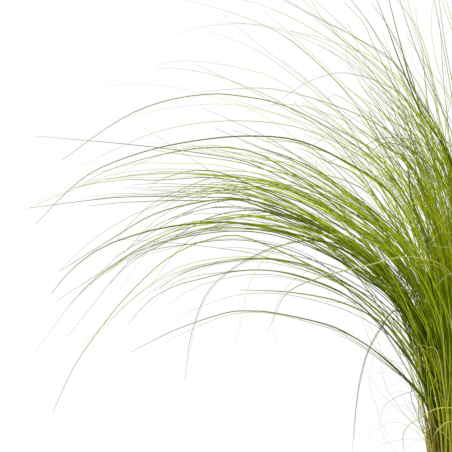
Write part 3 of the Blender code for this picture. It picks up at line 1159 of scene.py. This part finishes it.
def rounded(corners):
    """The profile (radius, z, cut), with each corner rounded off from this far before it."""
    points = [Vector(corners[0][:2])]
    for before, (radius, z, cut), after in zip(corners, corners[1:], corners[2:]):
        corner = Vector((radius, z))
        start = corner + cut * (Vector(before[:2]) - corner).normalized()
        end = corner + cut * (Vector(after[:2]) - corner).normalized()
        for i in range(CORNER_STEPS + 1):
            share = i / CORNER_STEPS
            points.append(start.lerp(corner, share).lerp(corner.lerp(end, share), share))
    return [*points, Vector(corners[-1][:2])]


def turned(name, profile):
    """An object with the profile turned once about Z. Its modifier is still live."""
    mesh = bpy.data.meshes.new(name)
    edges = [(i, i + 1) for i in range(len(profile) - 1)]
    mesh.from_pydata([(p.x, 0, p.y) for p in profile], edges, [])
    made = add_object(name, mesh)
    screw = made.modifiers.new("Turn", "SCREW")
    screw.steps = TURNED_SIDES
    screw.render_steps = TURNED_SIDES
    screw.use_merge_vertices = True
    screw.merge_threshold = WELD
    screw.use_normal_calculate = True
    return made


def settled(made, sharp=35):
    """The object with its modifiers worked into its mesh, and smooth but for its sharp edges."""
    graph = bpy.context.evaluated_depsgraph_get()
    mesh = bpy.data.meshes.new_from_object(made.evaluated_get(graph))
    name = made.name
    bpy.data.objects.remove(made)
    shape = bmesh.new()
    shape.from_mesh(mesh)
    bmesh.ops.remove_doubles(shape, verts=shape.verts, dist=WELD)
    bmesh.ops.recalc_face_normals(shape, faces=shape.faces)
    shape.to_mesh(mesh)
    shape.free()
    mesh.shade_smooth()
    mesh.set_sharp_from_angle(angle=radians(sharp))
    return add_object(name, mesh)


# %% Pot
GAP = 0.0003  # metres between the pot, the soil and the crown
POT_FLOOR = 0.010
POT_LIP_Z = 0.163
POT_INSIDE = (0.058, 0.088)  # radius at the floor and at the lip
POT_PROFILE = (
    (0, POT_FLOOR, 0),
    (0.058, POT_FLOOR, 0.004),
    (0.0882, 0.165, 0.002),
    (0.0980, 0.165, 0.003),
    (0.0970, 0.135, 0.0015),
    (0.0895, 0.133, 0.0012),
    (0.0660, 0.000, 0.003),
    (0, 0, 0),
)
DRAIN_HOLES = 3
DRAIN_CIRCLE = 0.034
DRAIN_RADIUS = 0.006
DRAIN_SIDES = 32
DRAIN_CUT = 0.030


def pot_inside(z):
    return blend(POT_INSIDE, (z - POT_FLOOR) / (POT_LIP_Z - POT_FLOOR))


pot = turned("pot_turned", rounded(POT_PROFILE))
drills = []
for i in range(DRAIN_HOLES):
    shape = bmesh.new()
    bmesh.ops.create_cone(
        shape,
        cap_ends=True,
        segments=DRAIN_SIDES,
        radius1=DRAIN_RADIUS,
        radius2=DRAIN_RADIUS,
        depth=DRAIN_CUT,
    )
    turn = tau * i / DRAIN_HOLES
    place = Vector((DRAIN_CIRCLE * cos(turn), DRAIN_CIRCLE * sin(turn), POT_FLOOR / 2))
    bmesh.ops.translate(shape, vec=place, verts=shape.verts)
    mesh = bpy.data.meshes.new(f"drill_{i + 1}")
    shape.to_mesh(mesh)
    shape.free()
    drill = add_object(mesh.name, mesh)
    drills.append(drill)
    hole = pot.modifiers.new(f"Drain {i + 1}", "BOOLEAN")
    hole.operation = "DIFFERENCE"
    hole.object = drill
pot = settled(pot)
for drill in drills:
    bpy.data.objects.remove(drill)


def clay_material():
    material, shader, kit = new_material("terracotta")
    place = kit.node("ShaderNodeTexCoord").out("Object")
    height = kit.z_of(place)
    cloud = kit.noise(place, scale=14.0, detail=6.0, roughness=0.6)
    fine = kit.noise(place, scale=420.0, detail=3.0)
    streaks = kit.noise(kit.vector("MULTIPLY", place, (1, 1, 14)), scale=22.0, detail=4.0)
    pores = kit.node("ShaderNodeTexVoronoi", Vector=place, Scale=260.0).out("Distance")
    stops = (
        (0.25, (0.36, 0.125, 0.055)),
        (0.50, (0.50, 0.195, 0.095)),
        (0.75, (0.60, 0.275, 0.150)),
    )
    shade = cloud * 0.7 + streaks * 0.3
    clay = kit.node("ShaderNodeValToRGB", {"stops": stops}, Fac=shade)
    # Lime from hard water blooms near the foot and at the soil's height, and the foot stays damp.
    foot = kit.between(height, 0.055, 0.0)
    rim = kit.between(height, 0.128, 0.165)
    bloom = kit.between(cloud + fine * 0.25 + foot * 0.22 + rim * 0.08, 0.70, 0.92)
    colour = kit.mix(bloom * 0.65, clay, (0.66, 0.56, 0.46, 1))
    # The pores sink in the bump, and are darkened in colour too: painted shade in the pits.
    pore_pit_and_shade = kit.between(pores, 0.10, 0.02)
    colour = kit.mix(pore_pit_and_shade * 0.5, colour, (0.22, 0.08, 0.04, 1))
    kit.feed(shader.inputs["Base Color"], colour)
    kit.feed(shader.inputs["Roughness"], 0.78 + 0.16 * cloud)
    relief = streaks * 0.6 + fine * 0.35 - pore_pit_and_shade * 0.5
    bump = kit.node("ShaderNodeBump", Strength=0.6, Distance=0.0006, Height=relief)
    kit.feed(shader.inputs["Normal"], bump)
    shader.inputs["Specular IOR Level"].default_value = 0.25
    return material


pot.data.materials.clear()
pot.data.materials.append(clay_material())
dress(pot, "terracotta", "pot")
print(f"pot: {len(pot.data.polygons)} faces")

# %% [markdown]
# ## Soil and crown
#
# Both are turned like the pot, with many rings on top. Bump in a material wouldn't change the
# soil's outline against the rim, so a third tree pushes their tops up and down by a noise. A
# fourth strews grains over the soil: crumbs of peat, chips of bark and a little white perlite.
# Grains are small and many, so each has only twenty faces.

# %% The tree that makes lumps
LUMPY_INPUTS = (
    ("Geometry", "Geometry"),
    ("Above", "Float"),  # lower points stay where they are
    ("Height", "Float"),
    ("Grain", "Float"),  # how many lumps to a metre
    ("Material", "Material"),
)
NOISE_MIDDLE = 0.55  # lumps rise above it and pits sink below
LUMPS_GROW = 0.002  # metres of height over which they reach their full size


def lumpy_tree():
    kit, given = new_tree("lumps", LUMPY_INPUTS)
    place = kit.node("GeometryNodeInputPosition")
    height = kit.z_of(place)
    noise = kit.noise(place, given.out("Grain"), detail=4.0, roughness=0.6)
    on_top = kit.between(height, given.out("Above"), given.out("Above") + LUMPS_GROW)
    rise = (noise - NOISE_MIDDLE) * 2 * given.out("Height") * on_top
    moved = kit.node(
        "GeometryNodeSetPosition",
        Geometry=given.out("Geometry"),
        Offset=kit.combine(0, 0, rise),
    )
    return end_tree(kit, given, moved)


lumps = lumpy_tree()
print(f"the tree has {len(lumps.nodes)} nodes")

# %% The tree that strews grains
STREWN_INPUTS = (
    ("Geometry", "Geometry"),
    ("Per Square Metre", "Float"),
    ("Size", "Float"),
    ("Flat", "Float"),  # 1 is round, less is a flake
    ("Long", "Float"),
    ("Seed", "Int"),
    ("Material", "Material"),
)
SMALLEST_GRAIN = 0.35  # of the size given
NARROWEST_GRAIN = 0.7  # of its own length
GRAIN_TILT = 0.5  # radians either way


def strewn_tree():
    kit, given = new_tree("grains", STREWN_INPUTS)
    up = kit.z_of(kit.node("GeometryNodeInputNormal"))
    points = kit.node(
        "GeometryNodeDistributePointsOnFaces",
        {"distribute_method": "RANDOM"},
        Mesh=given.out("Geometry"),
        Selection=up > 0.5,
        Density=given.out("Per Square Metre"),
        Seed=given.out("Seed"),
    )
    draw = dice(kit, given.out("Seed"), kit.node("GeometryNodeInputIndex"))
    grain = kit.node("GeometryNodeMeshIcoSphere", Radius=1.0, Subdivisions=1)
    size = given.out("Size") * (SMALLEST_GRAIN + draw(1, 0) ** 2)
    long = size * (1 + draw(2, 0) * given.out("Long"))
    wide = size * (NARROWEST_GRAIN + (1 - NARROWEST_GRAIN) * draw(6, 0))
    strewn = kit.node(
        "GeometryNodeInstanceOnPoints",
        Points=points,
        Instance=grain,
        Rotation=kit.combine(draw(3) * GRAIN_TILT, draw(4) * GRAIN_TILT, draw(5, 0, tau)),
        Scale=kit.combine(long, wide, size * given.out("Flat")),
    )
    return end_tree(kit, given, strewn)


grains = strewn_tree()
print(f"the tree has {len(grains.nodes)} nodes")


# %% Soil and crown materials
def rough_material(name, grain, depth, places, *colours, stretch=(1, 1, 1)):
    """Rough, with colours that sit at these places of a noise, and a bump of the same noise."""
    material, shader, kit = new_material(name)
    place = kit.node("ShaderNodeTexCoord").out("Object")
    place = kit.vector("MULTIPLY", place, stretch)
    noise = kit.noise(place, grain, detail=6.0, roughness=0.65)
    stops = tuple(zip(places, colours))
    colour = kit.node("ShaderNodeValToRGB", {"stops": stops}, Fac=noise)
    kit.feed(shader.inputs["Base Color"], colour)
    bump = kit.node("ShaderNodeBump", Strength=0.8, Distance=depth, Height=noise)
    kit.feed(shader.inputs["Normal"], bump)
    shader.inputs["Roughness"].default_value = 0.95
    shader.inputs["Specular IOR Level"].default_value = 0.1
    return material


peat = rough_material(
    "potting_soil",
    240.0,
    0.001,
    (0.30, 0.55, 0.75),
    (0.012, 0.008, 0.006),
    (0.040, 0.026, 0.017),
    (0.085, 0.058, 0.038),
)
bark = rough_material(
    "bark",
    300.0,
    0.0005,
    (0.30, 0.55, 0.75),
    (0.060, 0.026, 0.012),
    (0.150, 0.075, 0.035),
    (0.260, 0.150, 0.075),
)
perlite = rough_material(
    "perlite",
    500.0,
    0.0004,
    (0.30, 0.60, 0.80),
    (0.520, 0.500, 0.460),
    (0.720, 0.710, 0.680),
    (0.800, 0.790, 0.760),
)
husk = rough_material(
    "crown_husk",
    120.0,
    0.001,
    (0.30, 0.52, 0.72),
    (0.120, 0.070, 0.025),
    (0.330, 0.240, 0.100),
    (0.520, 0.430, 0.210),
    stretch=(3, 3, 0.3),
)
print("materials for soil, bark, perlite and the crown")

# %% Soil and crown
SOIL_EDGE_Z = 0.148
CROWN_HOLE = 0.042
CROWN_RADIUS = 0.0414
CROWN_BOTTOM_Z = 0.128
RING_STEP = 0.0012
CROWN_FLAT = (0.001, 0.0375)  # radii
CROWN_EDGE = (0.0385, 0.0007)  # its radius, and how far it lies below the top
CROWN_SUNK = 0.002  # below the soil's top, where the crown's side turns down


def rings(start, end, step=RING_STEP):
    """Points along a straight stretch of a profile, close enough together to take lumps."""
    count = max(1, round((end - start).length / step))
    return [start.lerp(end, i / count) for i in range(count + 1)]


soil_floor = POT_FLOOR + GAP
soil_top = rings(
    Vector((CROWN_HOLE, SOIL_Z)),
    Vector((pot_inside(SOIL_EDGE_Z) - GAP, SOIL_EDGE_Z)),
)
soil_profile = [
    Vector((0, CROWN_BOTTOM_Z)),
    Vector((CROWN_HOLE, CROWN_BOTTOM_Z)),
    *soil_top,
    Vector((pot_inside(soil_floor) - GAP, soil_floor)),
    Vector((0, soil_floor)),
]
soil = settled(turned("soil_shape", soil_profile))
lump = {"Above": 0.1475, "Height": 0.0016, "Grain": 90.0, "Material": peat}
soil_piece = shaped("soil_fill", soil.data, lumps, lump)
dress(soil_piece, "potting_soil", "soil")

crown_profile = [
    Vector((0, CROWN_TOP_Z)),
    *rings(*(Vector((radius, CROWN_TOP_Z)) for radius in CROWN_FLAT)),
    *rings(
        Vector((CROWN_EDGE[0], CROWN_TOP_Z - CROWN_EDGE[1])),
        Vector((CROWN_RADIUS, SOIL_Z - CROWN_SUNK)),
    ),
    Vector((CROWN_RADIUS, CROWN_BOTTOM_Z + GAP)),
    Vector((0, CROWN_BOTTOM_Z + GAP)),
]
crown = settled(turned("crown_shape", crown_profile))
lump = {"Above": 0.1500, "Height": 0.0024, "Grain": 140.0, "Material": husk}
crown_piece = shaped("crown_knot", crown.data, lumps, lump)
dress(crown_piece, "crown_husk", "crown")

STREWN = {
    "soil_crumbs": (90000, 0.0017, 0.8, 0.5, peat),
    "bark_chips": (6000, 0.0034, 0.35, 1.2, bark),
    "perlite_grains": (3500, 0.0018, 0.9, 0.2, perlite),
}
STREWN_COLUMNS = ("Per Square Metre", "Size", "Flat", "Long", "Material")
for seed, (name, row) in enumerate(STREWN.items(), 1):
    values = {**dict(zip(STREWN_COLUMNS, row)), "Seed": seed}
    piece = dress(shaped(name, soil_piece.data, grains, values), "potting_soil")
    print(f"{name}: {len(piece.data.polygons)} faces")
for shape in (soil, crown):
    bpy.data.objects.remove(shape)

# %% [markdown]
# ## Floor and light
#
# The photograph was taken against white, in soft light that casts hardly a shadow. A white world
# is background and soft light at once. One round lamp above on the left adds a little direction,
# so each leaf has a brighter side. The floor is there for the other views, where the pot stands on
# it. It is no part of the plant.

# %% Floor and light
FLOOR_RADIUS = 2.0
FLOOR_SIDES = 128
KEY_SIZE = 1.2
KEY_WATTS = 110
KEY_PLACE = Vector((-1.0, -1.5, 2.4))
KEY_TARGET = Vector((0, 0, 0.35))


def make_floor():
    mesh = bpy.data.meshes.new("floor")
    shape = bmesh.new()
    bmesh.ops.create_circle(shape, cap_ends=True, segments=FLOOR_SIDES, radius=FLOOR_RADIUS)
    shape.to_mesh(mesh)
    shape.free()
    floor = add_object("floor", mesh)
    material, shader, _ = new_material("floor")
    shader.inputs["Base Color"].default_value = (0.60, 0.60, 0.59, 1)
    shader.inputs["Roughness"].default_value = 0.9
    mesh.materials.append(material)


make_floor()

world = bpy.data.worlds.new("studio")
bpy.context.scene.world = world
world.use_nodes = True
background = world.node_tree.nodes["Background"]
background.inputs["Color"].default_value = (1, 1, 1, 1)
background.inputs["Strength"].default_value = 1.0
bpy.context.scene.view_settings.view_transform = "Standard"

key_data = bpy.data.lights.new("key", "AREA")
key_data.shape = "DISK"
key_data.size = KEY_SIZE
key_data.energy = KEY_WATTS
key = add_object("key", key_data)
key.location = KEY_PLACE
key.rotation_euler = (KEY_TARGET - KEY_PLACE).to_track_quat("-Z", "Y").to_euler()
print(f"a floor {2 * FLOOR_RADIUS:.0f} m across, and a lamp of {KEY_WATTS} W")
